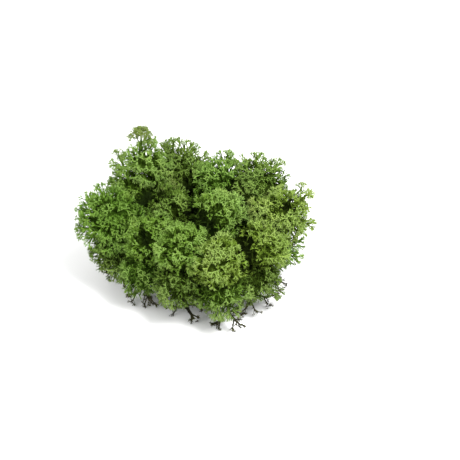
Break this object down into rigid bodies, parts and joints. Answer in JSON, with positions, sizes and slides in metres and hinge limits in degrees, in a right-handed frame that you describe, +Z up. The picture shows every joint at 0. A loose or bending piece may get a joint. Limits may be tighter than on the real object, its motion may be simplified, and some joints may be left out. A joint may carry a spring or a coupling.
{
  "type": "reindeer moss clump",
  "caption": "Soft heap of rounded, much-forked green lichen tufts pressed together, with open sprays on top and bare dark stems below, lying on a small flat spot.",
  "frame": {"origin": "middle of the heap's bounding box, on the surface that it lies on", "axes": "+Z up from that surface, -Y towards the side that the low front tufts face, +X to the right seen from there"},
  "size_m": [0.1674, 0.1462, 0.111],
  "materials": {
    "moss_fresh": "matt, fresh mid green, finely forked",
    "moss_bright": "matt, bright yellow green, finely forked",
    "moss_olive": "matt, olive green, finely forked",
    "moss_deep": "matt, deep green, finely forked",
    "old_stem": "matt, dark olive brown, bare"
  },
  "bodies": {
    "root": {"tuft_left": "moss_deep", "tuft_left_front": "moss_fresh", "tuft_front_left": "moss_fresh", "tuft_front": "moss_bright", "tuft_right_front": "moss_bright", "tuft_right": "moss_bright", "tuft_middle": "moss_fresh", "tuft_mid_right": "moss_deep", "tuft_mid_left": "moss_olive", "tuft_back_left": "moss_fresh", "tuft_high": "moss_fresh", "tuft_back_top": "moss_olive", "tuft_back_middle": "moss_deep", "tuft_back_right": "moss_olive", "inner_left": "moss_deep", "inner_right": "moss_deep", "side_left": "moss_olive", "side_left_front": "moss_deep", "side_front_left": "moss_olive", "side_front": "moss_fresh", "side_right_front": "moss_olive", "side_right": "moss_deep", "side_back_right": "moss_olive", "side_back": "moss_fresh", "side_back_left": "moss_olive", "side_left_back": "moss_fresh", "tuft_under": "old_stem", "old_stems_front": "old_stem", "old_stems_front_left": "old_stem", "old_stems_left_front": "old_stem", "old_stems_left": "old_stem", "old_stems_right_front": "old_stem", "old_stems_right": "old_stem", "old_stems_back_right": "old_stem", "old_stems_back": "old_stem"}
  },
  "joints": []
}
